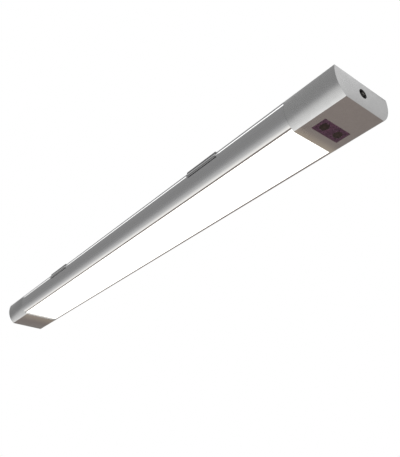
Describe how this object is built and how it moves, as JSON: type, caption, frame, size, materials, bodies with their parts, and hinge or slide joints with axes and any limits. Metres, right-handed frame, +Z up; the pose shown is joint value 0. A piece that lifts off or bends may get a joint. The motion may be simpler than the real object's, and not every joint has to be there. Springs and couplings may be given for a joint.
{
  "type": "led light bar",
  "caption": "Slim LED light bar: aluminium extrusion with an opal diffuser, end housings, hand-wave switch and power inlet at one end, and sliding spring clips for hanging it below a shelf.",
  "frame": {"origin": "midway between the screw holes of the two clips, on the flat face that lies against the shelf", "axes": "+X along the bar towards the end with the switch and the power inlet, +Y across it, +Z up into the shelf, so the bar hangs below z = 0"},
  "size_m": [0.45, 0.0464, 0.0187],
  "materials": {
    "anodised_aluminium": "satin",
    "silver_plastic": "satin",
    "opal_plastic": "frosted",
    "white_board": "satin",
    "led_package": "gloss",
    "black_component": "matte",
    "yellow_component": "satin",
    "plated_screw": "plated",
    "infrared_window": "gloss",
    "black_plastic": "matte",
    "clear_epoxy": "gloss",
    "dark_epoxy": "gloss",
    "green_board": "satin",
    "contact_metal": "plated",
    "red_wire": "satin",
    "black_wire": "satin",
    "spring_steel": "dark satin"
  },
  "bodies": {
    "bar": {"extrusion": "anodised_aluminium", "diffuser": "opal_plastic", "led_board": "white_board", "leds": "led_package", "led_resistors": "black_component", "sensor_housing": "silver_plastic", "sensor_lid": "silver_plastic", "sensor_lid_screws": "plated_screw", "sensor_housing_screws": "plated_screw", "far_housing": "silver_plastic", "far_lid": "silver_plastic", "far_lid_screws": "plated_screw", "far_housing_screws": "plated_screw", "sensor_window": "infrared_window", "eye_holder": "black_plastic", "ir_emitter": "clear_epoxy", "ir_receiver": "dark_epoxy", "sensor_board": "green_board", "sensor_board_screws": "plated_screw", "control_chip": "black_component", "dimmer_transistor": "black_component", "buffer_capacitor": "yellow_component", "board_resistors": "black_component", "dc_jack": "black_plastic", "jack_pin": "contact_metal", "jack_spring": "contact_metal", "positive_wire": "red_wire", "negative_wire": "black_wire"},
    "near_clip": {"near_clip": "spring_steel"},
    "far_clip": {"far_clip": "spring_steel"}
  },
  "joints": [
    {"name": "near_clip_slide", "type": "slide", "parent": "bar", "child": "near_clip", "axis": [1, 0, 0], "range_m": [-0.097, 0.0595]},
    {"name": "far_clip_slide", "type": "slide", "parent": "bar", "child": "far_clip", "axis": [1, 0, 0], "range_m": [-0.0695, 0.087]}
  ]
}
